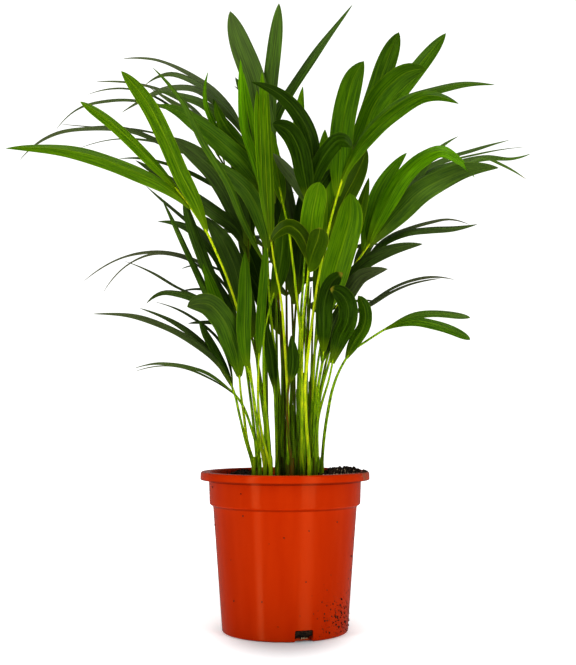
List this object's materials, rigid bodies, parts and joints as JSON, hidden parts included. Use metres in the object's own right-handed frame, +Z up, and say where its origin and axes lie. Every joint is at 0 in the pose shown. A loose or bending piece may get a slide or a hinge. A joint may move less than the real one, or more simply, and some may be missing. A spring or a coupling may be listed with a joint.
{
  "type": "potted palm",
  "caption": "Clump of young feather palms with arching split leaves on thin upright stalks, growing in compost in a round tapered plastic nursery pot with a rolled rim.",
  "frame": {"origin": "middle of the pot's underside, on the floor", "axes": "+Z up along the pot's axis, -Y towards the viewer of the picture, +X to the viewer's right"},
  "size_m": [0.5755, 0.3507, 0.6498],
  "materials": {
    "pot_plastic": "satin, injection-moulded polypropylene",
    "compost": "matte, loose peat and bark crumbs",
    "palm_leaf_young": "glossy living leaf",
    "palm_leaf_grown": "glossy living leaf",
    "palm_leaf_deep": "glossy living leaf"
  },
  "bodies": {
    "root": {"pot": "pot_plastic", "compost": "compost", "plant_left_low": "palm_leaf_deep", "plant_left_broad": "palm_leaf_grown", "plant_left_front": "palm_leaf_grown", "plant_left_bright": "palm_leaf_young", "plant_left_back": "palm_leaf_deep", "plant_dark_left": "palm_leaf_deep", "plant_upper_left": "palm_leaf_grown", "plant_back_left_arch": "palm_leaf_deep", "plant_far_left_arch": "palm_leaf_deep", "plant_spear": "palm_leaf_young", "plant_front_left_stem": "palm_leaf_grown", "plant_dark_stem": "palm_leaf_deep", "plant_dark_trio": "palm_leaf_deep", "plant_bright_stem": "palm_leaf_young", "plant_right_tall": "palm_leaf_grown", "plant_big_leaf": "palm_leaf_young", "plant_right_arching": "palm_leaf_deep", "plant_right_broad": "palm_leaf_deep", "plant_right_low": "palm_leaf_grown", "plant_right_arch": "palm_leaf_grown", "plant_right_back": "palm_leaf_deep", "plant_inner": "palm_leaf_deep", "plant_small": "palm_leaf_deep", "plant_back_left": "palm_leaf_deep", "plant_back_middle": "palm_leaf_deep", "plant_back_right": "palm_leaf_deep", "plant_back_low": "palm_leaf_deep"}
  },
  "joints": []
}
